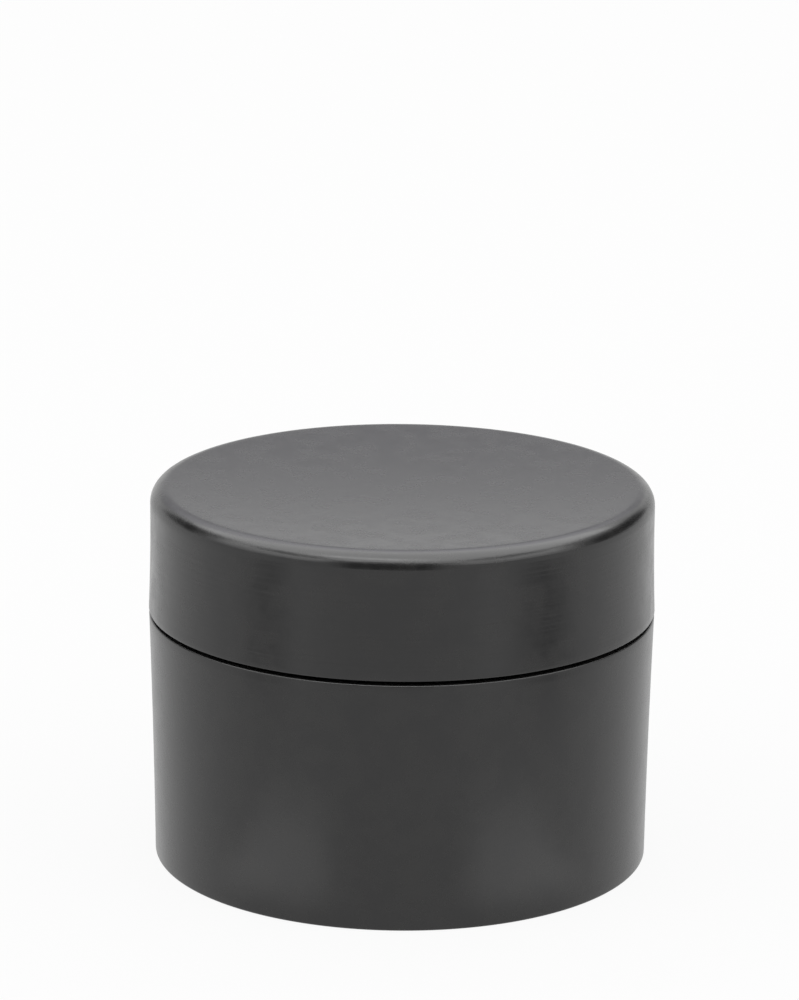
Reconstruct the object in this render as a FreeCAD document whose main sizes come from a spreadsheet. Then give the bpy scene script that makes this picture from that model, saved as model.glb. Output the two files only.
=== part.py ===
"""Straight-sided jar with a flush screw lid, in millimetres.

The jar is a drafted outer shell with a separate inner cup that carries the threaded neck. The lid
is a drafted outer shell over a threaded insert, with a foam liner loose behind a bead. The axis is
Z, the foot stands on Z = 0, and every size below is a cell of the Sizes sheet.
"""

import FreeCAD, Part
import math
import os

import Sketcher

ORIGIN = -1  # Sketcher's name for its own origin point and for its horizontal axis
UPRIGHT = -2  # Sketcher's name for its vertical axis
EDGE_TOLERANCE = 1e-3  # how near an edge has to lie to the place it is picked by
BITE = 0.4  # how far a rib or a thread tooth is rooted in the wall that carries it

SIZES = {
    # Outer form
    "seam_diameter": 78.0,  # across the lid's lower edge, the widest place
    "jar_height": 38.6,  # foot to the outer shell's rim
    "jar_taper": 0.76,  # how much the outer shell's radius shrinks from rim to foot
    "jar_inset": 0.05,  # how far the rim stands inside the lid's lower edge
    "seam_gap": 0.6,  # open gap between the rim and the lid
    "lid_height": 19.35,  # lid's lower edge to its crest
    "lid_taper": 0.3,  # how much the lid's radius shrinks from lower edge to crest
    "lid_round": 2.6,  # radius of the lid's shoulder
    "dish_depth": 0.9,  # depth of the hollow top at its centre
    "foot_round": 0.4,  # radius of the edge round the foot
    "seam_round": 0.2,  # radius of the two edges that face each other across the seam
    # Outer shell of the jar
    "jar_wall": 1.7,
    "jar_floor": 1.8,
    "foot_width": 2.8,  # ring that the jar stands on
    "foot_recess": 0.7,  # how far the floor is raised inside that ring
    "gate_diameter": 9.0,  # sunk disc round the moulding gate
    "gate_depth": 0.35,
    "gate_nub": 0.9,  # radius of the gate's stub
    "jar_rib_count": 12,
    "jar_rib_width": 1.2,
    "jar_rib_depth": 1.3,
    "jar_bead": 0.35,  # bead that holds the cup's flange down
    "bead_height": 0.6,
    # Inner cup
    "flange_drop": 1.2,  # rim of the shell down to the cup's flange
    "flange_thickness": 1.7,
    "flange_fit": 0.12,  # radial clearance of the flange in the shell
    "neck_wall": 1.7,
    "neck_round": 0.4,  # radius of the neck's lip
    "cup_wall": 1.4,
    "cup_taper": 2.0,  # how much the cup's radius shrinks to its floor
    "cup_floor": 1.5,
    "cup_lift": 5.5,  # foot of the jar up to the underside of the cup
    "cup_round": 9.0,  # radius inside the cup's lower corner
    "fork_height": 2.2,
    "fork_width": 1.4,
    "fork_fit": 0.15,  # clearance at each side of the rib in a fork
    # Thread
    "thread_starts": 2,
    "thread_lead": 8.0,  # rise in one turn
    "thread_depth": 1.0,
    "thread_root": 2.0,  # width of a tooth where it leaves the wall
    "thread_crest": 0.9,  # width of a tooth at its crest
    "thread_fit": 0.25,  # radial clearance of the two threads
    "flank_gap": 0.15,  # clearance of the two flanks that carry the lid
    "thread_margin": 3.0,  # neck's lip down to the middle of the last tooth
    # Lid shell, its threaded insert and liner
    "lid_wall": 1.5,
    "lid_plate": 1.6,  # thickness of the lid's top at its centre
    "insert_space": 0.75,  # between the insert and the lid's wall at its narrowest
    "insert_wall": 1.15,
    "insert_plate": 1.3,
    "insert_inset": 0.6,  # how far the insert stops short of the lid's lower edge
    "insert_foot": 1.0,  # height of the flange round the insert's lower end
    "foot_fit": 0.15,  # radial clearance of that flange in the lid
    "lid_bead": 0.3,  # bead that the insert snaps over
    "lid_rib_count": 12,
    "lid_rib_width": 1.2,
    "liner_thickness": 1.5,
    "liner_fit": 0.3,  # radial clearance of the liner in the insert
    "liner_bead": 0.6,  # bead under the liner, which keeps it in the lid
}


class Size:
    """A length that carries both its value and the sheet formula that it follows."""

    def __init__(self, value, formula):
        self.value = value
        self.formula = formula

    def _with(self, other, sign, value_of):
        other = other if isinstance(other, Size) else Size(float(other), repr(other))
        return Size(value_of(self.value, other.value), f"({self.formula} {sign} {other.formula})")

    def __add__(self, other):
        return self._with(other, "+", lambda a, b: a + b)

    def __sub__(self, other):
        return self._with(other, "-", lambda a, b: a - b)

    def __mul__(self, other):
        return self._with(other, "*", lambda a, b: a * b)

    def __truediv__(self, other):
        return self._with(other, "/", lambda a, b: a / b)

    def __neg__(self):
        return ZERO - self


ZERO = Size(0.0, "0")


def between(low, high, share):
    """The value that lies a share of the way from low to high."""
    return low + (high - low) * share


def make_sheet(doc):
    """Write every driving dimension to the sheet, and return them by name."""
    sheet = doc.addObject("Spreadsheet::Sheet", "Sizes")
    for row, (alias, value) in enumerate(SIZES.items(), start=1):
        sheet.set(f"A{row}", alias)
        sheet.set(f"B{row}", str(value))
        sheet.setAlias(f"B{row}", alias)
    doc.recompute()
    return {alias: Size(float(value), f"Sizes.{alias}") for alias, value in SIZES.items()}


class Piece:
    """One sub-part: a PartDesign body and the ways its features are made."""

    def __init__(self, doc, label):
        self.doc = doc
        self.body = doc.addObject("PartDesign::Body", label)
        self.body.Label = label

    def plane(self, role):
        """The body's own origin plane of that role."""
        return next(part for part in self.body.Origin.OriginFeatures if part.Role == role)

    def sketch(self, name, corners, role="XZ_Plane", lift=None, bowl_side=None):
        """A closed outline through the corners, each held by its two distances from the origin.

        bowl_side is the number of the side that is an arc centred on the upright axis.
        """
        sketch = self.body.newObject("Sketcher::SketchObject", name)
        sketch.AttachmentSupport = [(self.plane(role), "")]
        sketch.MapMode = "FlatFace"
        if lift is not None:
            sketch.setExpression("AttachmentOffset.Base.z", lift.formula)
        self.outline(sketch, corners, bowl_side)
        return sketch

    def outline(self, sketch, corners, bowl_side=None):
        """Add one closed outline to a sketch."""
        first = sketch.GeometryCount
        places = [FreeCAD.Vector(across.value, up.value, 0) for across, up in corners]
        for side, start in enumerate(places):
            end = places[(side + 1) % len(places)]
            sketch.addGeometry(
                bowl_arc(start, end) if side == bowl_side else Part.LineSegment(start, end), False
            )
        for side in range(len(places)):
            after = (side + 1) % len(places)
            sketch.addConstraint(
                Sketcher.Constraint("Coincident", first + side, 2, first + after, 1)
            )
        if bowl_side is not None:
            sketch.addConstraint(
                Sketcher.Constraint("PointOnObject", first + bowl_side, 3, UPRIGHT)
            )
        for side, (across, up) in enumerate(corners):
            hold(sketch, first + side, "DistanceX", across, UPRIGHT)
            hold(sketch, first + side, "DistanceY", up, ORIGIN)

    def feature(self, kind, name, sketch):
        """A feature that reads a sketch about or along the body's upright axis."""
        made = self.body.newObject(f"PartDesign::{kind}", name)
        made.Profile = sketch
        if "ReferenceAxis" in made.PropertiesList and kind != "Pad":
            made.ReferenceAxis = (sketch, ["V_Axis"])
        return made

    def turn(self, name, corners, kind="Revolution", bowl_side=None):
        """A full turn of an outline in the upright plane, added or cut away (kind Groove)."""
        made = self.feature(kind, name, self.sketch(name + "Outline", corners, bowl_side=bowl_side))
        made.Angle = 360
        self.doc.recompute()
        return made

    def rib(self, name, corners, width, count):
        """Ribs of a given width round the axis, from one upright outline."""
        made = self.feature("Pad", name, self.sketch(name + "Outline", corners))
        made.SideType = "Symmetric"
        made.setExpression("Length", width.formula)
        self.doc.recompute()
        return self.repeat(name + "Pattern", made, count)

    def fork(self, name, inner, outer, half_slot, width, low, high, count):
        """Pairs of fingers round the axis, each pair with a slot between."""
        near, far = half_slot, half_slot + width
        sketch = self.sketch(
            name + "Plan", [(inner, near), (outer, near), (outer, far), (inner, far)],
            role="XY_Plane", lift=low,
        )
        self.outline(sketch, [(inner, -far), (outer, -far), (outer, -near), (inner, -near)])
        made = self.feature("Pad", name, sketch)
        made.setExpression("Length", (high - low).formula)
        self.doc.recompute()
        return self.repeat(name + "Pattern", made, count)

    def thread(self, name, corners, lead, rise, starts):
        """A right-handed thread of one or more starts, from the outline of its tooth."""
        made = self.feature("AdditiveHelix", name, self.sketch(name + "Tooth", corners))
        made.Mode = "pitch-height-angle"
        made.setExpression("Pitch", lead.formula)
        made.setExpression("Height", rise.formula)
        self.doc.recompute()
        return self.repeat(name + "Starts", made, starts)

    def repeat(self, name, feature, count):
        """Repeat a feature evenly round the axis."""
        pattern = self.body.newObject("PartDesign::PolarPattern", name)
        pattern.Originals = [feature]
        pattern.Axis = (self.plane_axis("Z_Axis"), [""])
        pattern.Angle = 360
        pattern.setExpression("Occurrences", count.formula)
        self.body.Tip = pattern
        self.doc.recompute()
        return pattern

    def plane_axis(self, role):
        """The body's own origin axis of that role."""
        return next(part for part in self.body.Origin.OriginFeatures if part.Role == role)

    def soften(self, name, radius, places):
        """Round the circular edges that lie at the given radii and heights."""
        base = self.body.Tip
        wanted = [(across.value, up.value) for across, up in places]
        names = [
            f"Edge{number}"
            for number, edge in enumerate(base.Shape.Edges, start=1)
            if any(is_ring(edge, across, up) for across, up in wanted)
        ]
        if len(names) < len(wanted):
            raise ValueError(f"{name}: found {len(names)} of {len(wanted)} edges to round")
        made = self.body.newObject("PartDesign::Fillet", name)
        made.Base = (base, names)
        made.setExpression("Radius", radius.formula)
        self.doc.recompute()
        return made


def bowl_arc(start, end):
    """The arc from start to end whose centre lies on the upright axis and whose bowl is hollow."""
    centre_y = (end.x**2 + end.y**2 - start.x**2 - start.y**2) / (2 * (end.y - start.y))
    centre = FreeCAD.Vector(0, centre_y, 0)
    angles = [math.atan2(point.y - centre_y, point.x) for point in (start, end)]
    circle = Part.Circle(centre, FreeCAD.Vector(0, 0, 1), (start - centre).Length)
    return Part.ArcOfCircle(circle, *angles)


def hold(sketch, side, kind, size, axis):
    """Hold a side's first point at a distance from the origin, or on an axis where that is zero."""
    if abs(size.value) < 1e-9:
        sketch.addConstraint(Sketcher.Constraint("PointOnObject", side, 1, axis))
        return
    ends = (ORIGIN, 1, side, 1) if size.value > 0 else (side, 1, ORIGIN, 1)
    formula = size.formula if size.value > 0 else f"-({size.formula})"
    number = sketch.addConstraint(Sketcher.Constraint(kind, *ends, abs(size.value)))
    sketch.setExpression(f"Constraints[{number}]", formula)


def is_ring(edge, across, up):
    """True for a full circle about the axis at that radius and height."""
    if not isinstance(edge.Curve, Part.Circle):
        return False
    centre = edge.Curve.Center
    on_axis = math.hypot(centre.x, centre.y) < EDGE_TOLERANCE
    radius_fits = abs(edge.Curve.Radius - across) < EDGE_TOLERANCE
    return on_axis and radius_fits and abs(centre.z - up) < EDGE_TOLERANCE


class Layout:
    """Radii and heights that more than one piece needs, worked out from the driving sizes."""

    def __init__(self, size):
        self.size = size
        seam = size["seam_diameter"] / 2
        # Heights, from the foot up to the lid's crest and then down inside the lid
        self.rim = size["jar_height"]
        self.lid_low = self.rim + size["seam_gap"]
        self.crest = self.lid_low + size["lid_height"]
        self.dish_centre = self.crest - size["dish_depth"]
        self.lid_ceiling = self.dish_centre - size["lid_plate"]
        self.insert_ceiling = self.lid_ceiling - size["insert_plate"]
        self.lip = self.insert_ceiling - size["liner_thickness"]
        self.insert_low = self.lid_low + size["insert_inset"]
        self.flange_top = self.rim - size["flange_drop"]
        self.flange_low = self.flange_top - size["flange_thickness"]
        self.floor_top = size["foot_recess"] + size["jar_floor"]
        # Radii, from the outside in
        self.seam = seam
        self.jar_rim = seam - size["jar_inset"]
        self.jar_foot = self.jar_rim - size["jar_taper"]
        self.lid_crest = seam - size["lid_taper"]
        self.insert_outer = self.lid_crest - size["lid_wall"] - size["insert_space"]
        self.insert_inner = self.insert_outer - size["insert_wall"]
        self.neck_crest = self.insert_inner - size["thread_fit"]
        self.neck = self.neck_crest - size["thread_depth"]
        self.mouth = self.neck - size["neck_wall"]
        self.liner = self.insert_inner - size["liner_fit"]
        # Thread: the middle of a tooth at the start and end of its climb
        half_root = size["thread_root"] / 2
        tooth_sum = size["thread_root"] + size["thread_crest"]
        slope = (size["thread_root"] - size["thread_crest"]) / size["thread_depth"]
        self.tooth_drop = (tooth_sum - slope * size["thread_fit"]) / 2 + size["flank_gap"]
        self.neck_tooth_low = (
            self.insert_low + size["insert_foot"] + half_root + self.tooth_drop
        )
        self.thread_rise = self.lip - size["thread_margin"] - self.neck_tooth_low

    def jar_outside(self, height):
        """Radius of the outer shell's outside at a height."""
        return between(self.jar_foot, self.jar_rim, height / self.rim)

    def jar_inside(self, height):
        """Radius of the outer shell's inside at a height."""
        return self.jar_outside(height) - self.size["jar_wall"]

    def lid_inside(self, height):
        """Radius of the lid shell's inside at a height."""
        share = (height - self.lid_low) / self.size["lid_height"]
        return between(self.seam, self.lid_crest, share) - self.size["lid_wall"]


def make_outer_jar(doc, at):
    """Drafted outer shell: foot ring, gate mark, ribs that carry the cup and a bead above it."""
    size = at.size
    jar = Piece(doc, "outer_jar")
    recess_radius = at.jar_foot - size["foot_width"]
    jar.turn(
        "Shell",
        [
            (ZERO, size["foot_recess"]),
            (recess_radius, size["foot_recess"]),
            (recess_radius, ZERO),
            (at.jar_foot, ZERO),
            (at.jar_rim, at.rim),
            (at.jar_inside(at.rim), at.rim),
            (at.jar_inside(at.floor_top), at.floor_top),
            (ZERO, at.floor_top),
        ],
    )
    bead_low = at.flange_top + size["flange_fit"]
    bead_high = bead_low + size["bead_height"]
    bead_middle = (bead_low + bead_high) / 2
    root = size["jar_wall"] / 2
    jar.turn(
        "Bead",
        [
            (at.jar_inside(bead_low) + root, bead_low),
            (at.jar_inside(bead_low), bead_low),
            (at.jar_inside(bead_middle) - size["jar_bead"], bead_middle),
            (at.jar_inside(bead_high), bead_high),
            (at.jar_inside(bead_high) + root, bead_high),
        ],
    )
    rib_foot = at.floor_top - size["jar_floor"] / 2
    jar.rib(
        "Rib",
        [
            (at.jar_inside(at.floor_top) - size["jar_rib_depth"], rib_foot),
            (at.jar_inside(at.floor_top) + BITE, rib_foot),
            (at.jar_inside(at.flange_low) + BITE, at.flange_low),
            (at.jar_inside(at.flange_low) - size["jar_rib_depth"], at.flange_low),
        ],
        size["jar_rib_width"],
        size["jar_rib_count"],
    )
    gate_top = size["foot_recess"] + size["gate_depth"]
    jar.turn(
        "Gate",
        [
            (size["gate_nub"], size["foot_recess"] - size["gate_depth"]),
            (size["gate_diameter"] / 2, size["foot_recess"] - size["gate_depth"]),
            (size["gate_diameter"] / 2, gate_top),
            (size["gate_nub"], gate_top),
        ],
        kind="Groove",
    )
    jar.soften("FootEdge", size["foot_round"], [(at.jar_foot, ZERO), (recess_radius, ZERO)])
    jar.soften("RimEdge", size["seam_round"], [(at.jar_rim, at.rim)])
    return jar


def make_inner_cup(doc, at):
    """Cup with a rounded floor, a flange that sits on the shell's ribs and a threaded neck."""
    size = at.size
    cup = Piece(doc, "inner_cup")
    floor_low = size["cup_lift"]
    floor_top = floor_low + size["cup_floor"]
    inner_low = at.mouth - size["cup_taper"]
    flange_radius = at.jar_inside(at.flange_low) - size["flange_fit"]
    waist = at.mouth + size["cup_wall"]
    cup.turn(
        "Cup",
        [
            (ZERO, floor_low),
            (inner_low + size["cup_wall"], floor_low),
            (waist, at.flange_low),
            (flange_radius, at.flange_low),
            (flange_radius, at.flange_top),
            (at.neck, at.flange_top),
            (at.neck, at.lip),
            (at.mouth, at.lip),
            (at.mouth, at.flange_low),
            (inner_low, floor_top),
            (ZERO, floor_top),
        ],
    )
    cup.soften("InnerCorner", size["cup_round"], [(inner_low, floor_top)])
    cup.soften(
        "OuterCorner", size["cup_round"] + size["cup_wall"],
        [(inner_low + size["cup_wall"], floor_low)],
    )
    cup.soften("Lip", size["neck_round"], [(at.neck, at.lip), (at.mouth, at.lip)])
    cup.thread(
        "NeckThread",
        tooth(at.neck, at.neck_crest, BITE, at.neck_tooth_low, size),
        size["thread_lead"],
        at.thread_rise,
        size["thread_starts"],
    )
    cup.fork(
        "Fork",
        inner=waist + BITE,
        outer=flange_radius - size["flange_fit"],
        half_slot=size["jar_rib_width"] / 2 + size["fork_fit"],
        width=size["fork_width"],
        low=at.flange_low - size["fork_height"],
        high=at.flange_low + size["flange_thickness"] / 2,
        count=size["jar_rib_count"] / 2,
    )
    return cup


def tooth(wall, crest, bite, middle, size):
    """Outline of a thread tooth on a wall; a crest inside the wall's radius gives an inner thread."""
    outward = crest.value > wall.value
    root = wall - bite if outward else wall + bite
    half_root = size["thread_root"] / 2
    half_crest = size["thread_crest"] / 2
    return [
        (root, middle - half_root),
        (wall, middle - half_root),
        (crest, middle - half_crest),
        (crest, middle + half_crest),
        (wall, middle + half_root),
        (root, middle + half_root),
    ]


def make_lid_shell(doc, at):
    """Drafted outer lid: rounded shoulder, dished top, inner ribs and a snap bead."""
    size = at.size
    lid = Piece(doc, "lid_shell")
    lid.turn(
        "Shell",
        [
            (ZERO, at.lid_ceiling),
            (at.lid_inside(at.lid_ceiling), at.lid_ceiling),
            (at.lid_inside(at.lid_low), at.lid_low),
            (at.seam, at.lid_low),
            (at.lid_crest, at.crest),
            (ZERO, at.crest),
        ],
    )
    lid.soften("Shoulder", size["lid_round"], [(at.lid_crest, at.crest)])
    lid.soften("LowerEdge", size["seam_round"], [(at.seam, at.lid_low)])
    crest_radius = at.lid_crest - size["lid_round"]
    above = at.crest + size["lid_plate"]
    lid.turn(
        "Dish",
        [
            (ZERO, at.dish_centre),
            (crest_radius, at.crest),
            (crest_radius, above),
            (ZERO, above),
        ],
        kind="Groove",
        bowl_side=0,
    )
    bead_high = at.insert_low - size["foot_fit"]
    bead_low = bead_high - size["lid_bead"]
    root = size["lid_wall"] / 2
    lid.turn(
        "SnapBead",
        [
            (at.lid_inside(bead_low) + root, bead_low),
            (at.lid_inside(bead_low), bead_low),
            (at.lid_inside(bead_high) - size["lid_bead"], bead_high),
            (at.lid_inside(bead_high) + root, bead_high),
        ],
    )
    rib_low = at.insert_low + size["insert_foot"] + size["foot_fit"]
    rib_reach = at.insert_outer + size["foot_fit"]
    rib_high = at.lid_ceiling + size["lid_plate"] / 2
    lid.rib(
        "Rib",
        [
            (rib_reach, rib_low),
            (at.lid_inside(rib_low) + BITE, rib_low),
            (at.lid_inside(rib_high) + BITE, rib_high),
            (rib_reach, rib_high),
        ],
        size["lid_rib_width"],
        size["lid_rib_count"],
    )
    return lid


def make_lid_insert(doc, at):
    """Threaded insert: top plate, snap foot, forks over the lid's ribs and a bead for the liner."""
    size = at.size
    insert = Piece(doc, "lid_insert")
    foot_top = at.insert_low + size["insert_foot"]
    foot_radius = at.lid_inside(foot_top) - size["foot_fit"]
    bead_high = at.lip - size["flank_gap"]
    bead_low = bead_high - size["liner_bead"]
    insert.turn(
        "Shell",
        [
            (ZERO, at.insert_ceiling),
            (at.insert_inner, at.insert_ceiling),
            (at.insert_inner, bead_high),
            (at.insert_inner - size["liner_bead"], bead_high),
            (at.insert_inner, bead_low),
            (at.insert_inner, at.insert_low),
            (foot_radius, at.insert_low),
            (foot_radius, foot_top),
            (at.insert_outer, foot_top),
            (at.insert_outer, at.lid_ceiling),
            (ZERO, at.lid_ceiling),
        ],
    )
    insert.thread(
        "LidThread",
        tooth(
            at.insert_inner,
            at.insert_inner - size["thread_depth"],
            BITE,
            at.neck_tooth_low - at.tooth_drop,
            size,
        ),
        size["thread_lead"],
        at.thread_rise,
        size["thread_starts"],
    )
    insert.fork(
        "Fork",
        inner=at.insert_outer - BITE,
        outer=at.lid_inside(at.lid_ceiling) - size["foot_fit"],
        half_slot=size["lid_rib_width"] / 2 + size["fork_fit"],
        width=size["fork_width"],
        low=foot_top - size["insert_foot"] / 2,
        high=at.lid_ceiling - size["insert_plate"],
        count=size["lid_rib_count"],
    )
    return insert


def make_lid_liner(doc, at):
    """Foam disc that seals on the neck's lip, loose in the insert above its bead."""
    liner = Piece(doc, "lid_liner")
    liner.turn(
        "Disc",
        [
            (ZERO, at.lip),
            (at.liner, at.lip),
            (at.liner, at.insert_ceiling),
            (ZERO, at.insert_ceiling),
        ],
    )
    return liner


def check(doc, pieces):
    """Stop if any object failed to build or any piece isn't one valid solid."""
    failed = [thing.Name for thing in doc.Objects if {"Invalid", "Error"} & set(thing.State)]
    if failed:
        raise RuntimeError(f"these objects failed: {failed}")
    for piece in pieces:
        shape = piece.body.Shape
        if shape.isNull() or not shape.isValid() or len(shape.Solids) != 1:
            raise RuntimeError(f"{piece.body.Label} isn't one valid solid")


def main():
    """Build every piece and write one STEP file for each."""
    doc = FreeCAD.newDocument("ScrewLidJar")
    at = Layout(make_sheet(doc))
    makers = (make_outer_jar, make_inner_cup, make_lid_shell, make_lid_insert, make_lid_liner)
    pieces = [make(doc, at) for make in makers]
    doc.recompute()
    check(doc, pieces)
    os.makedirs("parts", exist_ok=True)
    for piece in pieces:
        shape = piece.body.Shape
        shape.exportStep(f"parts/{piece.body.Label}.step")
        print(f"{piece.body.Label}: {shape.Volume:.1f} mm3, {len(shape.Faces)} faces")


main()
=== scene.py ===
"""Satin black screw-lid jar: turned outer shells, a threaded cup and lid, and a small studio."""

import logging
import math
from dataclasses import dataclass, field
from enum import Enum
from typing import Iterable, Optional, Union

import bpy
from mathutils import Matrix, Vector


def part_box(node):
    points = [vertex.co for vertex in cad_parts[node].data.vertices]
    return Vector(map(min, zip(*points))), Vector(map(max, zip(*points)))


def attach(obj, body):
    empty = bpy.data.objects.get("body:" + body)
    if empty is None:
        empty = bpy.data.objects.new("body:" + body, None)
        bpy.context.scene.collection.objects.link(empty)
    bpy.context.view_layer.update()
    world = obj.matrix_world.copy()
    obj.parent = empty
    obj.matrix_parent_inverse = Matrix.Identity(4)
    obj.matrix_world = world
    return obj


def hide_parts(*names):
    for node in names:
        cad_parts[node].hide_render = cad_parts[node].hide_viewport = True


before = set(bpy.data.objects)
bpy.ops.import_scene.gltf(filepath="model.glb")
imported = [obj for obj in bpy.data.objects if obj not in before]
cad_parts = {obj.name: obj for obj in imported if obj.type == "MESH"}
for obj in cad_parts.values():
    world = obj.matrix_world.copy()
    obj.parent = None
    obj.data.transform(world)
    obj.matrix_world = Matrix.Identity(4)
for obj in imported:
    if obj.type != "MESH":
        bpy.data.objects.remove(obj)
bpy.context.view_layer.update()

log = logging.getLogger("jar")
MM = 0.001
SOFT_EDGE = 0.12 * MM  # how far a small moulded corner is eased
CLOSING_RADIUS = 2.0 * MM  # the last ring before a piece closes on its axis
SMOOTH_BELOW = math.radians(32)  # faces that meet at less than this are shaded as one
STUDIO_AIM = Vector((0, 0, 30 * MM))  # the point that lamps and panels face

Socket = bpy.types.NodeSocket
Value = Union[float, tuple, Socket]


class Body(Enum):
    """The moving bodies that a piece can ride on."""

    JAR = "jar"
    LID = "lid"
    LINER = "liner"


# ---------------------------------------------------------------- modelling by hand


@dataclass(frozen=True)
class Station:
    """One ring of a turned piece: how far out it stands and how high, in metres."""

    radius: float
    height: float


def quarter_round(
    start: Station, end: Station, steps: int, vertical_first: bool
) -> list[Station]:
    """Stations along a quarter of an ellipse from start to end.

    Args:
        start: The ring that the round leaves; it isn't repeated in the result.
        end: The ring that the round reaches, which is the last in the result.
        steps: How many rings the round is divided into.
        vertical_first: True if the round leaves start going straight up or down.

    Returns:
        The rings after start, in order.
    """
    rings = []
    for step in range(1, steps + 1):
        turn = math.pi / 2 * step / steps
        slow, fast = 1 - math.cos(turn), math.sin(turn)
        out, up = (slow, fast) if vertical_first else (fast, slow)
        rings.append(
            Station(
                start.radius + (end.radius - start.radius) * out,
                start.height + (end.height - start.height) * up,
            )
        )
    return rings


def straight(start: Station, end: Station, steps: int, bow: float = 0.0) -> list[Station]:
    """Stations along a wall from start to end, which may bow inwards between them.

    Args:
        start: The ring that the wall leaves; it isn't repeated in the result.
        end: The ring that the wall reaches.
        steps: How many rings the wall is divided into.
        bow: How far the middle of the wall stands inside the straight line.

    Returns:
        The rings after start, in order.
    """
    rings = []
    for step in range(1, steps + 1):
        share = step / steps
        rings.append(
            Station(
                start.radius + (end.radius - start.radius) * share
                - bow * 4 * share * (1 - share),
                start.height + (end.height - start.height) * share,
            )
        )
    return rings


class Turning:
    """A closed piece turned round the upright axis, one ring extruded from the last."""

    def __init__(self, name: str, first: Station, segments: int = 192) -> None:
        """Start with a small closed disc.

        Args:
            name: The finished object's name.
            first: Radius and height of that disc.
            segments: Number of sides of every ring.
        """
        bpy.ops.object.select_all(action="DESELECT")
        bpy.ops.mesh.primitive_circle_add(
            vertices=segments, radius=first.radius, fill_type="TRIFAN",
            location=(0, 0, first.height),
        )
        self.object: bpy.types.Object = bpy.context.active_object
        self.object.name = name
        self.object.data.name = name
        bpy.ops.object.transform_apply(location=True, rotation=True, scale=True)
        bpy.ops.object.mode_set(mode="EDIT")
        bpy.ops.mesh.select_mode(type="EDGE")
        bpy.ops.mesh.select_all(action="DESELECT")
        bpy.ops.mesh.select_non_manifold()
        self.at = first

    def follow(self, rings: Iterable[Station]) -> "Turning":
        """Extrude the open edge through each ring in turn."""
        for ring in rings:
            rise = ring.height - self.at.height
            bpy.ops.mesh.extrude_edges_move(TRANSFORM_OT_translate={"value": (0, 0, rise)})
            grow = ring.radius / self.at.radius
            bpy.ops.transform.resize(
                value=(grow, grow, 1), center_override=(0, 0, ring.height)
            )
            self.at = ring
        return self

    def close(self) -> bpy.types.Object:
        """Close the open edge on the axis, turn every face outwards and smooth the piece.

        Returns:
            The finished object, in object mode.
        """
        bpy.ops.mesh.extrude_edges_move()
        bpy.ops.mesh.merge(type="CENTER")
        bpy.ops.mesh.select_all(action="SELECT")
        bpy.ops.mesh.normals_make_consistent(inside=False)
        bpy.ops.mesh.select_all(action="DESELECT")
        bpy.ops.object.mode_set(mode="OBJECT")
        bpy.ops.object.shade_smooth_by_angle(angle=SMOOTH_BELOW)
        return self.object


# ---------------------------------------------------------------- materials


class Graph:
    """A node tree that is written in short calls."""

    def __init__(self, tree: bpy.types.NodeTree) -> None:
        """Write into the given tree."""
        self.tree = tree
        self.count = 0

    def node(self, kind: str, settings: Optional[dict] = None, **inputs: Value) -> bpy.types.Node:
        """Add a node, set its properties and fill or link its inputs.

        Args:
            kind: The node's type, such as ShaderNodeMath.
            settings: Properties of the node itself.
            inputs: Input socket names, with spaces as underscores or input_N for a number.

        Returns:
            The new node.
        """
        made = self.tree.nodes.new(kind)
        made.location = (220 * (self.count % 12), -260 * (self.count // 12))
        self.count += 1
        for name, value in (settings or {}).items():
            setattr(made, name, value)
        for name, value in inputs.items():
            key = int(name[6:]) if name.startswith("input_") else name.replace("_", " ")
            self.fill(made.inputs[key], value)
        return made

    def fill(self, socket: Socket, value: Value) -> None:
        """Link a socket to the value if that is an output, or else set it."""
        if isinstance(value, bpy.types.NodeSocket):
            self.tree.links.new(value, socket)
        else:
            socket.default_value = value

    def math(self, operation: str, first: Value, second: Value = 0.0) -> Socket:
        """A Math node's result."""
        return self.node(
            "ShaderNodeMath", {"operation": operation}, input_0=first, input_1=second
        ).outputs[0]

    def remap(self, value: Value, low: float, high: float, to_low: float, to_high: float) -> Socket:
        """Map a value smoothly from one range to another, clamped at both ends."""
        return self.node(
            "ShaderNodeMapRange", {"interpolation_type": "SMOOTHSTEP"}, Value=value,
            From_Min=low, From_Max=high, To_Min=to_low, To_Max=to_high,
        ).outputs[0]

    def noise(self, vector: Value, scale: Value, detail: float = 2.0, rough: float = 0.5) -> Socket:
        """A noise texture's value."""
        return self.node(
            "ShaderNodeTexNoise", Vector=vector, Scale=scale, Detail=detail, Roughness=rough
        ).outputs[0]

    def stretch(self, vector: Value, scale: tuple) -> Socket:
        """Coordinates stretched along the axes."""
        return self.node("ShaderNodeMapping", Vector=vector, Scale=scale).outputs[0]


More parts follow.
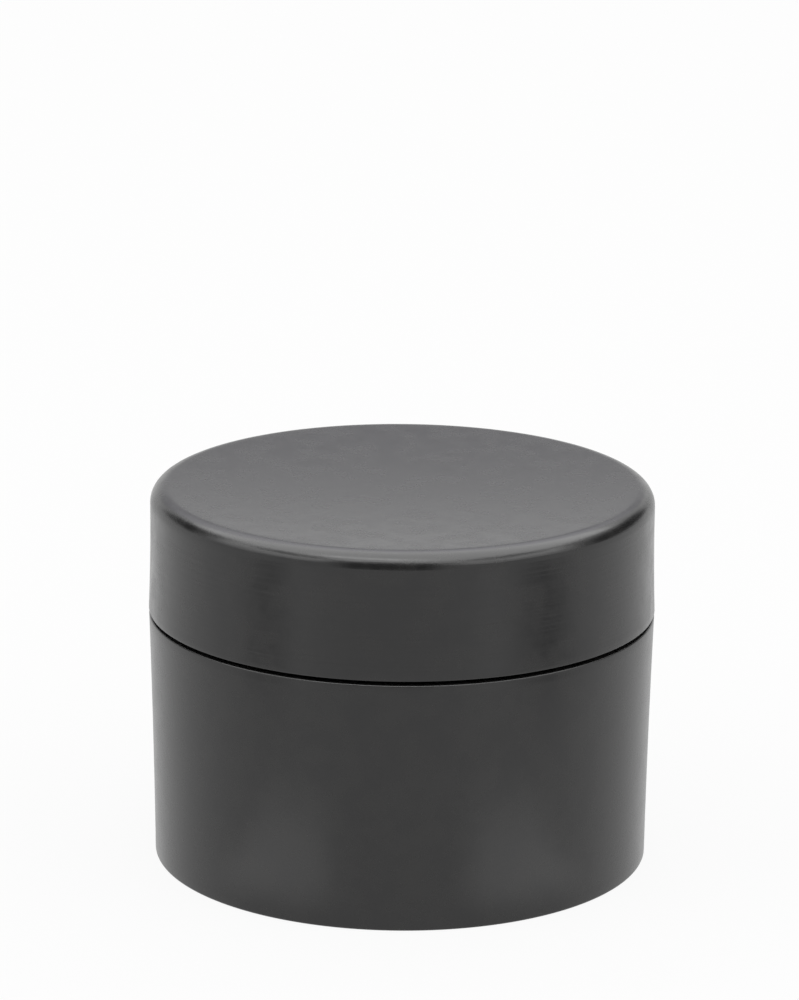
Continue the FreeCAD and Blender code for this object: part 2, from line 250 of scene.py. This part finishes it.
class Effect:
    """A shared surface effect: a shader node group with named inputs and outputs."""

    made: dict[str, bpy.types.NodeTree] = {}

    @classmethod
    def group(
        cls, name: str, inputs: dict[str, float], outputs: Iterable[str]
    ) -> tuple[Graph, bpy.types.Node, bpy.types.Node]:
        """Start a new group.

        Args:
            name: The group's name.
            inputs: Input names with their default values; Vector is always added.
            outputs: Names of the float outputs.

        Returns:
            The graph to write into, and the group's input and output nodes.
        """
        tree = bpy.data.node_groups.new(name, "ShaderNodeTree")
        tree.interface.new_socket("Vector", in_out="INPUT", socket_type="NodeSocketVector")
        for label, value in inputs.items():
            made = tree.interface.new_socket(
                label, in_out="INPUT", socket_type="NodeSocketFloat"
            )
            made.default_value = value
        for label in outputs:
            tree.interface.new_socket(label, in_out="OUTPUT", socket_type="NodeSocketFloat")
        graph = Graph(tree)
        return graph, graph.node("NodeGroupInput"), graph.node("NodeGroupOutput")

    @classmethod
    def etched_grain(cls) -> bpy.types.NodeTree:
        """Fine spark-etched mould texture, with a slow drift in how deep it is."""
        if "etched_grain" not in cls.made:
            graph, given, out = cls.group(
                "etched_grain", {"Grain Scale": 3000.0, "Swell": 1.0, "Drift Scale": 60.0},
                ("Height", "Drift"),
            )
            fine = graph.noise(given.outputs["Vector"], given.outputs["Grain Scale"], 3.0, rough=0.6)
            drift = graph.noise(given.outputs["Vector"], given.outputs["Drift Scale"], 3.0, rough=0.55)
            wide = graph.math("MULTIPLY", given.outputs["Grain Scale"], 0.3)
            swell = graph.noise(given.outputs["Vector"], wide)
            lifted = graph.math("MULTIPLY", swell, given.outputs["Swell"])
            graph.fill(out.inputs["Height"], graph.math("ADD", fine, lifted))
            graph.fill(out.inputs["Drift"], graph.remap(drift, 0.3, 0.7, 0.0, 1.0))
            cls.made["etched_grain"] = graph.tree
        return cls.made["etched_grain"]

    @classmethod
    def tooling_lines(cls) -> bpy.types.NodeTree:
        """Faint level lines that the mould's turning leaves, broken up round the piece."""
        if "tooling_lines" not in cls.made:
            graph, given, out = cls.group(
                "tooling_lines", {"Line Scale": 700.0, "Break Up": 0.5}, ("Height",)
            )
            level = graph.stretch(given.outputs["Vector"], (0.02, 0.02, 1.0))
            lines = graph.noise(level, given.outputs["Line Scale"], rough=0.6)
            patch = graph.noise(given.outputs["Vector"], 45.0)
            kept = graph.remap(patch, 0.35, 0.7, 0.0, 1.0)
            faded = graph.math("MULTIPLY", kept, given.outputs["Break Up"])
            strength = graph.math("SUBTRACT", 1.0, faded)
            centred = graph.math("SUBTRACT", lines, 0.5)
            graph.fill(out.inputs["Height"], graph.math("MULTIPLY", centred, strength))
            cls.made["tooling_lines"] = graph.tree
        return cls.made["tooling_lines"]

    @classmethod
    def dust(cls) -> bpy.types.NodeTree:
        """Sparse small specks, each with a soft edge and its own weight."""
        if "dust" not in cls.made:
            graph, given, out = cls.group(
                "dust", {"Cell Scale": 190.0, "Amount": 0.06, "Speck Size": 0.05}, ("Mask",)
            )
            cells = graph.node(
                "ShaderNodeTexVoronoi", Vector=given.outputs["Vector"],
                Scale=given.outputs["Cell Scale"], Randomness=1.0,
            )
            pick = graph.node("ShaderNodeSeparateColor", Color=cells.outputs["Color"])
            chosen = graph.math("LESS_THAN", pick.outputs[0], given.outputs["Amount"])
            size = graph.math("MULTIPLY", pick.outputs[1], given.outputs["Speck Size"])
            inside = graph.node(
                "ShaderNodeMapRange", {"interpolation_type": "SMOOTHSTEP"},
                Value=cells.outputs["Distance"], From_Min=0.0, From_Max=size,
                To_Min=1.0, To_Max=0.0,
            ).outputs[0]
            graph.fill(out.inputs["Mask"], graph.math("MULTIPLY", inside, chosen))
            cls.made["dust"] = graph.tree
        return cls.made["dust"]

    @classmethod
    def scuffs(cls) -> bpy.types.NodeTree:
        """Short fine scratches, in two directions, that come and go in patches."""
        if "scuffs" not in cls.made:
            graph, given, out = cls.group(
                "scuffs", {"Scratch Scale": 55.0, "Amount": 0.5}, ("Mask",)
            )
            found: Optional[Socket] = None
            for angle, stretch in ((0.5, 14.0), (-0.9, 10.0)):
                turned = graph.node(
                    "ShaderNodeMapping", Vector=given.outputs["Vector"],
                    Rotation=(angle, angle * 0.6, angle), Scale=(1.0, stretch, stretch),
                ).outputs[0]
                line = graph.noise(turned, given.outputs["Scratch Scale"], 4.0, rough=0.7)
                thin = graph.remap(line, 0.66, 0.72, 0.0, 1.0)
                found = thin if found is None else graph.math("MAXIMUM", found, thin)
            patch = graph.remap(graph.noise(given.outputs["Vector"], 70.0), 0.5, 0.62, 0.0, 1.0)
            shown = graph.math("MULTIPLY", found, patch)
            graph.fill(
                out.inputs["Mask"], graph.math("MULTIPLY", shown, given.outputs["Amount"])
            )
            cls.made["scuffs"] = graph.tree
        return cls.made["scuffs"]


@dataclass(frozen=True)
class MouldedPlastic:
    """A moulded black plastic, from a dull etched outside to a smoother inside."""

    name: str
    deep: tuple[float, float, float] = (0.0085, 0.0084, 0.0086)
    pale: tuple[float, float, float] = (0.0115, 0.0112, 0.0111)
    roughness: float = 0.27
    roughness_spread: float = 0.012
    grain_depth: float = 0.006 * MM
    grain_scale: float = 3200.0
    swell: float = 1.2
    drift_scale: float = 240.0
    line_depth: float = 0.0
    line_scale: float = 700.0
    dust_amount: float = 0.05
    dust_weight: float = 0.5
    dust_colour: tuple[float, float, float] = (0.30, 0.29, 0.28)
    scuff_amount: float = 0.25
    scuff_polish: float = 0.18
    refraction: float = 1.49

    def build(self) -> bpy.types.Material:
        """Make the material.

        Returns:
            A new material with this finish.
        """
        material = bpy.data.materials.new(self.name)
        material.use_nodes = True
        graph = Graph(material.node_tree)
        graph.tree.nodes.clear()
        place = graph.node("ShaderNodeTexCoord").outputs["Object"]
        grain = self.effect(
            graph, Effect.etched_grain(), place, Grain_Scale=self.grain_scale, Swell=self.swell,
            Drift_Scale=self.drift_scale,
        )
        dust = self.effect(graph, Effect.dust(), place, Amount=self.dust_amount)
        scuffs = self.effect(graph, Effect.scuffs(), place, Amount=self.scuff_amount)
        tint = graph.node(
            "ShaderNodeMix", {"data_type": "RGBA"}, input_0=grain.outputs["Drift"],
            input_6=(*self.deep, 1.0), input_7=(*self.pale, 1.0),
        ).outputs[2]
        speck = graph.math("MULTIPLY", dust.outputs["Mask"], self.dust_weight)
        dusted = graph.node(
            "ShaderNodeMix", {"data_type": "RGBA"}, input_0=speck, input_6=tint,
            input_7=(*self.dust_colour, 1.0),
        ).outputs[2]
        spread = self.roughness_spread
        rough = graph.remap(
            grain.outputs["Drift"], 0.0, 1.0, self.roughness - spread, self.roughness + spread
        )
        polished = graph.math("MULTIPLY", scuffs.outputs["Mask"], self.scuff_polish)
        scuffed = graph.math("SUBTRACT", rough, polished)
        height = graph.math("MULTIPLY", grain.outputs["Height"], self.grain_depth)
        if self.line_depth:
            lines = self.effect(
                graph, Effect.tooling_lines(), place, Line_Scale=self.line_scale
            )
            facing = graph.node("ShaderNodeNewGeometry").outputs["True Normal"]
            level = graph.node("ShaderNodeSeparateXYZ", input_0=facing).outputs["Z"]
            upright = graph.remap(graph.math("ABSOLUTE", level), 0.2, 0.9, 1.0, 0.0)
            on_skirt = graph.math("MULTIPLY", upright, self.line_depth)
            ridge = graph.math("MULTIPLY", lines.outputs["Height"], on_skirt)
            height = graph.math("ADD", height, ridge)
        bump = graph.node("ShaderNodeBump", Strength=1.0, Distance=1.0, Height=height)
        shader = graph.node(
            "ShaderNodeBsdfPrincipled", Base_Color=dusted, Roughness=scuffed,
            Normal=bump.outputs[0], IOR=self.refraction,
        )
        out = graph.node("ShaderNodeOutputMaterial")
        graph.fill(out.inputs["Surface"], shader.outputs[0])
        return material

    @staticmethod
    def effect(
        graph: Graph, tree: bpy.types.NodeTree, place: Socket, **inputs: Value
    ) -> bpy.types.Node:
        """Place a shared effect in the material with this finish's own values."""
        return graph.node("ShaderNodeGroup", {"node_tree": tree}, Vector=place, **inputs)


@dataclass(frozen=True)
class LinerFoam:
    """Pale closed-cell foam under a thin glossy film."""

    name: str = "liner_foam"
    deep: tuple[float, float, float] = (0.70, 0.68, 0.63)
    pale: tuple[float, float, float] = (0.80, 0.785, 0.745)
    smoothest: float = 0.36
    roughest: float = 0.5
    grain_scale: float = 900.0
    drift_scale: float = 90.0
    cell_scale: float = 1400.0
    cell_depth: float = 0.03 * MM
    glow_weight: float = 0.15
    glow_depth: float = 0.6 * MM

    def build(self) -> bpy.types.Material:
        """Make the material.

        Returns:
            A new material with this finish.
        """
        material = bpy.data.materials.new(self.name)
        material.use_nodes = True
        graph = Graph(material.node_tree)
        graph.tree.nodes.clear()
        place = graph.node("ShaderNodeTexCoord").outputs["Object"]
        cells = graph.node("ShaderNodeTexVoronoi", Vector=place, Scale=self.cell_scale)
        grain = MouldedPlastic.effect(
            graph, Effect.etched_grain(), place, Grain_Scale=self.grain_scale,
            Drift_Scale=self.drift_scale,
        )
        tint = graph.node(
            "ShaderNodeMix", {"data_type": "RGBA"}, input_0=grain.outputs["Drift"],
            input_6=(*self.deep, 1.0), input_7=(*self.pale, 1.0),
        ).outputs[2]
        rough = graph.remap(grain.outputs["Drift"], 0.0, 1.0, self.smoothest, self.roughest)
        bubbles = graph.math("MULTIPLY", cells.outputs["Distance"], self.cell_depth)
        bump = graph.node("ShaderNodeBump", Strength=1.0, Distance=1.0, Height=bubbles)
        shader = graph.node(
            "ShaderNodeBsdfPrincipled", Base_Color=tint, Roughness=rough,
            Normal=bump.outputs[0], Subsurface_Weight=self.glow_weight,
            Subsurface_Scale=self.glow_depth,
        )
        out = graph.node("ShaderNodeOutputMaterial")
        graph.fill(out.inputs["Surface"], shader.outputs[0])
        return material


def dress(piece: bpy.types.Object, material: bpy.types.Material) -> None:
    """Give a piece one material all over."""
    piece.data.materials.clear()
    piece.data.materials.append(material)


# ---------------------------------------------------------------- the pieces


@dataclass
class OuterJar:
    """The jar's outer shell: foot ring, gate mark, drafted wall and rim."""

    wall: float = 1.7 * MM
    floor: float = 1.8 * MM
    foot_width: float = 2.8 * MM
    foot_recess: float = 0.7 * MM
    foot_round: float = 0.4 * MM
    draft: float = 0.76 * MM
    bow: float = 0.10 * MM
    rim_round: float = 0.2 * MM
    gate_radius: float = 4.5 * MM
    gate_depth: float = 0.35 * MM
    gate_nub: float = 0.9 * MM
    nub_stand: float = 0.15 * MM
    nub_edge: float = 0.1 * MM
    finish: MouldedPlastic = field(
        default_factory=lambda: MouldedPlastic("etched_black_jar", line_depth=0.004 * MM)
    )

    def build(self) -> bpy.types.Object:
        """Turn the shell from the gate mark out over the foot, up the wall and down inside.

        Returns:
            The finished shell.
        """
        low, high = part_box("outer_jar")
        rim, foot = high.x, high.x - self.draft
        recess = foot - self.foot_width
        soft = SOFT_EDGE
        under = low.z + self.foot_recess
        sunk = under + self.gate_depth
        floor_top = under + self.floor
        inner_foot = foot - self.wall + self.draft * floor_top / high.z
        turning = Turning("jar_shell", Station(self.gate_nub - soft, under - self.nub_stand))
        turning.follow([
            Station(self.gate_nub, under - self.nub_edge),
            Station(self.gate_nub, sunk - soft),
            Station(self.gate_nub + soft, sunk),
            Station(self.gate_radius - soft, sunk),
            Station(self.gate_radius, sunk - soft),
            Station(self.gate_radius, under + soft),
            Station(self.gate_radius + soft, under),
        ])
        turning.follow(straight(turning.at, Station(recess - soft, under), 6))
        turning.follow([Station(recess, under - soft)])
        turning.follow([Station(recess, low.z + self.foot_round)])
        turning.follow(
            quarter_round(turning.at, Station(recess + self.foot_round, low.z), 5, True)
        )
        turning.follow(straight(turning.at, Station(foot - self.foot_round, low.z), 2))
        turning.follow(
            quarter_round(
                turning.at, Station(foot, low.z + self.foot_round), 6, False
            )
        )
        shoulder = Station(rim, high.z - self.rim_round)
        turning.follow(straight(turning.at, shoulder, 28, self.bow))
        turning.follow(
            quarter_round(turning.at, Station(rim - self.rim_round, high.z), 4, True)
        )
        inner_rim = rim - self.wall
        turning.follow([
            Station(inner_rim + soft, high.z),
            Station(inner_rim, high.z - soft),
        ])
        turning.follow(straight(turning.at, Station(inner_foot, floor_top + soft), 8))
        turning.follow([Station(inner_foot - soft, floor_top)])
        turning.follow(straight(turning.at, Station(CLOSING_RADIUS, floor_top), 6))
        shell = turning.close()
        dress(shell, self.finish.build())
        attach(shell, Body.JAR.value)
        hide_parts("outer_jar")
        return shell


@dataclass
class LidShell:
    """The lid's outer shell: dished top, soft shoulder, drafted skirt and open underside."""

    wall: float = 1.5 * MM
    plate: float = 1.6 * MM
    draft: float = 0.3 * MM
    bow: float = 0.10 * MM
    shoulder: float = 2.6 * MM
    dish: float = 0.9 * MM
    start_radius: float = 1.2 * MM
    edge_round: float = 0.2 * MM
    finish: MouldedPlastic = field(
        default_factory=lambda: MouldedPlastic(
            "etched_black_lid", roughness=0.25, roughness_spread=0.03, grain_depth=0.012 * MM,
            swell=0.8, line_depth=0.042 * MM, line_scale=1700.0,
        )
    )

    def build(self) -> bpy.types.Object:
        """Turn the shell from the middle of the dish out, down the skirt and up inside.

        Returns:
            The finished shell.
        """
        low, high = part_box("lid_shell")
        lower = high.x
        centre = high.z - self.dish
        turning = Turning("lid_cover", Station(self.start_radius, centre))
        turning.follow(self.top_rings(lower - self.draft, centre))
        turning.follow(self.shoulder_rings(lower - self.draft, high.z))
        skirt_end = Station(lower, low.z + self.edge_round)
        turning.follow(straight(turning.at, skirt_end, 18, self.bow))
        turning.follow(
            quarter_round(turning.at, Station(lower - self.edge_round, low.z), 4, True)
        )
        soft = SOFT_EDGE
        inner = lower - self.wall
        ceiling = centre - self.plate
        inner_top = inner - self.draft
        turning.follow([Station(inner + soft, low.z), Station(inner, low.z + soft)])
        turning.follow(straight(turning.at, Station(inner_top, ceiling - soft), 6))
        turning.follow([Station(inner_top - soft, ceiling)])
        turning.follow(straight(turning.at, Station(CLOSING_RADIUS, ceiling), 6))
        shell = turning.close()
        dress(shell, self.finish.build())
        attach(shell, Body.LID.value)
        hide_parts("lid_shell")
        return shell

    def lean(self, outer: float) -> float:
        """Slope of the dish where it meets the shoulder, as an angle."""
        return math.atan2(2 * self.dish, outer - self.shoulder)

    def top_rings(self, outer: float, centre: float) -> list[Station]:
        """Rings over the hollow of the dish, from its middle out to the shoulder.

        Args:
            outer: Radius of the skirt at its top.
            centre: Height of the middle of the dish.

        Returns:
            The rings after the first.
        """
        lean = self.lean(outer)
        end = outer - self.shoulder * (1 + math.sin(lean))
        depth = self.dish - self.shoulder * (1 - math.cos(lean))
        steps = 36
        rings = []
        for step in range(1, steps + 1):
            radius = self.start_radius + (end - self.start_radius) * step / steps
            rings.append(Station(radius, centre + depth * (radius / end) ** 2))
        return rings

    def shoulder_rings(self, outer: float, crest: float) -> list[Station]:
        """Rings of the round that carries the dish's slope over the crest into the skirt.

        Args:
            outer: Radius of the skirt at its top.
            crest: Height of the crest.

        Returns:
            The rings after the last one of the dish.
        """
        lean = self.lean(outer)
        steps = 20
        rings = []
        for step in range(1, steps + 1):
            angle = -lean + (math.pi / 2 + lean) * step / steps
            rings.append(
                Station(
                    outer - self.shoulder * (1 - math.sin(angle)),
                    crest - self.shoulder * (1 - math.cos(angle)),
                )
            )
        return rings


@dataclass
class LidLiner:
    """The foam disc in the lid, with the ring that the neck has pressed into it."""

    start_radius: float = 1.5 * MM
    edge_round: float = 0.3 * MM
    ring_radius: float = 33.05 * MM
    ring_half_width: float = 1.0 * MM
    ring_depth: float = 0.06 * MM
    ring_slope: float = 0.25 * MM
    finish: LinerFoam = field(default_factory=LinerFoam)

    def build(self) -> bpy.types.Object:
        """Turn the disc from the middle of its face, over its edge and back on top.

        Returns:
            The finished liner.
        """
        low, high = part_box("lid_liner")
        edge = high.x
        turning = Turning("liner_disc", Station(self.start_radius, low.z))
        inner = self.ring_radius - self.ring_half_width
        outer = self.ring_radius + self.ring_half_width
        sunk = low.z + self.ring_depth
        turning.follow(straight(turning.at, Station(inner, low.z), 10))
        turning.follow([
            Station(inner + self.ring_slope, sunk),
            Station(outer - self.ring_slope, sunk),
            Station(outer, low.z),
            Station(edge - self.edge_round, low.z),
        ])
        turning.follow(quarter_round(turning.at, Station(edge, low.z + self.edge_round), 5, False))
        turning.follow([Station(edge, high.z - self.edge_round)])
        turning.follow(quarter_round(turning.at, Station(edge - self.edge_round, high.z), 5, True))
        turning.follow(straight(turning.at, Station(CLOSING_RADIUS, high.z), 6))
        disc = turning.close()
        dress(disc, self.finish.build())
        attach(disc, Body.LINER.value)
        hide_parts("lid_liner")
        return disc


@dataclass
class ThreadedParts:
    """The cup and the lid's insert, whose built shapes are right and need only their finish."""

    finish: MouldedPlastic = field(
        default_factory=lambda: MouldedPlastic(
            "smooth_black", roughness=0.28, roughness_spread=0.015, grain_depth=0.002 * MM,
            dust_amount=0.03,
        )
    )

    def build(self) -> list[bpy.types.Object]:
        """Dress both pieces.

        Returns:
            The dressed pieces.
        """
        material = self.finish.build()
        pieces = [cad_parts[name] for name in ("inner_cup", "lid_insert")]
        for piece in pieces:
            dress(piece, material)
        return pieces


# ---------------------------------------------------------------- the studio


@dataclass(frozen=True)
class Bearing:
    """Where something stands in the studio, seen from the object.

    Azimuth 0 is towards the camera and grows to the right; both angles are in degrees.
    """

    azimuth: float
    elevation: float
    distance: float

    def place(self) -> Vector:
        """The point itself, in metres."""
        across, up = math.radians(self.azimuth), math.radians(self.elevation)
        level = self.distance * math.cos(up)
        return Vector(
            (level * math.sin(across), -level * math.cos(across), self.distance * math.sin(up))
        )

    def facing(self) -> tuple[float, float, float]:
        """The turn that faces -Z at the object, as Euler angles."""
        aim = STUDIO_AIM - self.place()
        return tuple(aim.to_track_quat("-Z", "Y").to_euler())


@dataclass(frozen=True)
class Softbox:
    """A soft rectangular lamp."""

    name: str
    bearing: Bearing
    width: float
    height: float
    brightness: float

    def build(self) -> None:
        """Hang the lamp."""
        bpy.ops.object.select_all(action="DESELECT")
        bpy.ops.object.light_add(
            type="AREA", location=self.bearing.place(), rotation=self.bearing.facing()
        )
        lamp = bpy.context.active_object
        lamp.name = self.name
        lamp.data.shape = "RECTANGLE"
        lamp.data.size = self.width
        lamp.data.size_y = self.height
        lamp.data.energy = self.brightness * math.pi * self.width * self.height
        lamp.visible_camera = False
        lamp.visible_glossy = False


@dataclass(frozen=True)
class Panel:
    """A sheet, lit or dark, that only the object's gloss shows; its edges fade out."""

    name: str
    bearing: Bearing
    width: float
    height: float
    foot: float
    head: float
    feather: float = 0.12
    colour: tuple[float, float, float] = (1.0, 1.0, 1.0)

    def build(self) -> None:
        """Hang the sheet."""
        bpy.ops.object.select_all(action="DESELECT")
        bpy.ops.mesh.primitive_plane_add(
            size=1.0, location=self.bearing.place(), rotation=self.turn()
        )
        sheet = bpy.context.active_object
        sheet.name = self.name
        sheet.scale = (self.width, self.height, 1.0)
        bpy.ops.object.transform_apply(location=True, rotation=True, scale=True)
        dress(sheet, self.glow())
        sheet.visible_camera = False
        sheet.visible_diffuse = False
        sheet.visible_shadow = False

    def turn(self) -> tuple[float, float, float]:
        """The way the sheet hangs: square to the object."""
        return self.bearing.facing()

    def glow(self) -> bpy.types.Material:
        """A light that runs from foot to head up the sheet and is clear at its rim.

        Returns:
            The sheet's material.
        """
        material = bpy.data.materials.new(self.name)
        material.use_nodes = True
        graph = Graph(material.node_tree)
        graph.tree.nodes.clear()
        spot = graph.node("ShaderNodeTexCoord").outputs["UV"]
        axes = graph.node("ShaderNodeSeparateXYZ", input_0=spot)
        level = graph.remap(axes.outputs["Y"], 0.0, 1.0, self.foot, self.head)
        solid = graph.math(
            "MULTIPLY", self.fade(graph, axes.outputs["X"]), self.fade(graph, axes.outputs["Y"])
        )
        colour = (*self.colour, 1.0)
        light = graph.node("ShaderNodeEmission", Color=colour, Strength=level).outputs[0]
        clear = graph.node("ShaderNodeBsdfTransparent").outputs[0]
        both = graph.node("ShaderNodeMixShader", input_0=solid, input_1=clear, input_2=light)
        out = graph.node("ShaderNodeOutputMaterial")
        graph.fill(out.inputs["Surface"], both.outputs[0])
        return material

    def fade(self, graph: Graph, along: Socket) -> Socket:
        """0 at both ends of one direction, rising to 1 over the feather."""
        rise = graph.remap(along, 0.0, self.feather, 0.0, 1.0)
        fall = graph.remap(along, 1.0 - self.feather, 1.0, 1.0, 0.0)
        return graph.math("MULTIPLY", rise, fall)


@dataclass(frozen=True)
class PaintedFloorLight(Panel):
    """A painted pool of light or painted shade, lying flat on the floor, that only the gloss shows."""

    def turn(self) -> tuple[float, float, float]:
        """The way the patch lies: flat, with its head away from the object."""
        return (0.0, 0.0, math.radians(self.bearing.azimuth) + math.pi)


@dataclass
class Studio:
    """White floor and surroundings, soft lamps at the sides, and the panels the gloss shows."""

    floor_half: float = 3.0
    floor_sink: float = 0.02 * MM
    paper: tuple[float, float, float] = (0.86, 0.86, 0.86)
    white_share: float = 0.9
    surround_light: float = 0.92

    def build(self) -> None:
        """Make the floor, the surroundings, the lamps and the panels."""
        self.make_floor()
        self.make_world()
        lamps = (
            Softbox("left_softbox", Bearing(-68, 27, 1.25), 0.8, 0.55, 1.5),
            Softbox("right_softbox", Bearing(68, 27, 1.25), 0.8, 0.55, 1.5),
        )
        # Each panel: bearing, width, height, light at its foot and head, and feather
        panels = (
            Panel("canopy", Bearing(0, 89.9, 1.5), 3.5, 3.5, 4.2, 4.2),
            Panel("front_strip", Bearing(-20, 63, 1.3), 1.06, 0.24, 8.0, 8.0, 0.25),
            Panel(
                "back_glow", Bearing(185, 37, 1.6), 1.55, 1.3, 0.35, 3.0,
                colour=(0.955, 0.945, 1.0),
            ),
            Panel("front_dark", Bearing(-5, 21, 1.45), 1.35, 1.3, 0.03, 0.08),
            Panel("left_light", Bearing(-66, 28, 1.6), 1.75, 1.15, 0.55, 4.2),
            Panel("right_light", Bearing(56, 28, 1.6), 1.75, 1.15, 0.55, 4.4),
            Panel("left_gap", Bearing(-60, 45, 1.35), 1.05, 0.30, 0.04, 0.04, 0.25),
            Panel("right_gap", Bearing(56, 45, 1.35), 1.05, 0.30, 0.04, 0.04, 0.25),
            Panel("left_back_dark", Bearing(-122, 25, 1.6), 1.0, 0.7, 0.04, 0.06),
            Panel("right_back_dark", Bearing(120, 21, 1.7), 1.9, 0.75, 0.03, 0.05),
            # Floor patches: painted pools of light in the near and mid ones, painted shade in the two
            # far ones, seen only in the gloss
            PaintedFloorLight("left_near_painted_light", Bearing(-38, 0.2, 0.064), 0.045, 0.050, 1.5, 1.5, 0.3),
            PaintedFloorLight("right_near_painted_light", Bearing(38, 0.2, 0.064), 0.045, 0.050, 1.55, 1.5, 0.3),
            PaintedFloorLight("left_mid_painted_light", Bearing(-41, 0.1, 0.19), 0.06, 0.10, 1.45, 1.45, 0.45),
            PaintedFloorLight("right_mid_painted_light", Bearing(37, 0.1, 0.19), 0.07, 0.10, 1.5, 1.5, 0.45),
            PaintedFloorLight("left_far_painted_shade", Bearing(-58, 0.1, 0.19), 0.09, 0.13, 0.25, 0.25, 0.5),
            PaintedFloorLight("right_far_painted_shade", Bearing(62, 0.1, 0.19), 0.12, 0.15, 0.1, 0.1, 0.5),
        )
        for thing in (*lamps, *panels):
            thing.build()

    def make_floor(self) -> None:
        """A wide white floor that keeps the object's shadow and is clear from below."""
        bpy.ops.object.select_all(action="DESELECT")
        bpy.ops.mesh.primitive_plane_add(
            size=2 * self.floor_half, location=(0, 0, -self.floor_sink)
        )
        floor = bpy.context.active_object
        floor.name = "floor"
        material = bpy.data.materials.new("floor_white")
        material.use_nodes = True
        graph = Graph(material.node_tree)
        graph.tree.nodes.clear()
        paper = graph.node("ShaderNodeBsdfDiffuse", Color=(*self.paper, 1.0)).outputs[0]
        white = graph.node("ShaderNodeEmission", Color=(1, 1, 1, 1), Strength=1.0).outputs[0]
        rays = graph.node("ShaderNodeLightPath")
        seen = self.seen_directly(graph, rays)
        share = graph.math("MULTIPLY", seen, self.white_share)
        mixed = graph.node("ShaderNodeMixShader", input_0=share, input_1=paper, input_2=white)
        clear = graph.node("ShaderNodeBsdfTransparent").outputs[0]
        back = graph.node("ShaderNodeNewGeometry").outputs["Backfacing"]
        both = graph.node(
            "ShaderNodeMixShader", input_0=back, input_1=mixed.outputs[0], input_2=clear
        )
        out = graph.node("ShaderNodeOutputMaterial")
        graph.fill(out.inputs["Surface"], both.outputs[0])
        dress(floor, material)

    @staticmethod
    def seen_directly(graph: Graph, rays: bpy.types.Node) -> Socket:
        """1 where the camera sees the surface, straight or in gloss or through glass."""
        first = graph.math(
            "MAXIMUM", rays.outputs["Is Camera Ray"], rays.outputs["Is Glossy Ray"]
        )
        return graph.math("MAXIMUM", first, rays.outputs["Is Transmission Ray"])

    def make_world(self) -> None:
        """Plain white surroundings that light the object at a level below full white."""
        world = bpy.data.worlds.new("surroundings")
        bpy.context.scene.world = world
        world.use_nodes = True
        graph = Graph(world.node_tree)
        graph.tree.nodes.clear()
        rays = graph.node("ShaderNodeLightPath")
        seen = self.seen_directly(graph, rays)
        dim = graph.node(
            "ShaderNodeBackground", Color=(1, 1, 1, 1), Strength=self.surround_light
        ).outputs[0]
        white = graph.node("ShaderNodeBackground", Color=(1, 1, 1, 1), Strength=1.0).outputs[0]
        mixed = graph.node("ShaderNodeMixShader", input_0=seen, input_1=dim, input_2=white)
        out = graph.node("ShaderNodeOutputWorld")
        graph.fill(out.inputs["Surface"], mixed.outputs[0])


@dataclass
class Viewpoint:
    """The camera: a long lens a little above the jar."""

    aim_height: float = 39.4 * MM
    distance: float = 728.1 * MM
    elevation: float = math.radians(16.87)
    pitch: float = math.radians(15.61)
    roll: float = math.radians(0.449)
    yaw: float = math.radians(0.039)
    lens: float = 169.72
    sensor: float = 36.0
    nearest: float = 0.05
    farthest: float = 20.0

    def build(self) -> None:
        """Make the camera and hand it to the scene."""
        data = bpy.data.cameras.new("camera")
        camera = bpy.data.objects.new("camera", data)
        bpy.context.scene.collection.objects.link(camera)
        data.lens = self.lens
        data.sensor_width = self.sensor
        data.clip_start = self.nearest
        data.clip_end = self.farthest
        back = Vector((0, -math.cos(self.elevation), math.sin(self.elevation)))
        place = Vector((0, 0, self.aim_height)) + back * self.distance
        turn = (
            Matrix.Rotation(self.yaw, 4, "Z")
            @ Matrix.Rotation(math.pi / 2 - self.pitch, 4, "X")
            @ Matrix.Rotation(self.roll, 4, "Z")
        )
        camera.matrix_world = Matrix.Translation(place) @ turn
        bpy.context.scene.camera = camera


def main() -> None:
    """Build every piece and log its face count, then the studio and the camera."""
    logging.basicConfig(level=logging.INFO, format="%(message)s")
    for maker in (OuterJar(), LidShell(), LidLiner(), ThreadedParts()):
        made = maker.build()
        for piece in made if isinstance(made, list) else [made]:
            log.info("%s: %d faces", piece.name, len(piece.data.polygons))
    Studio().build()
    Viewpoint().build()
    bpy.context.scene.view_settings.view_transform = "Standard"
    bpy.context.view_layer.update()


if __name__ == "__main__":
    main()
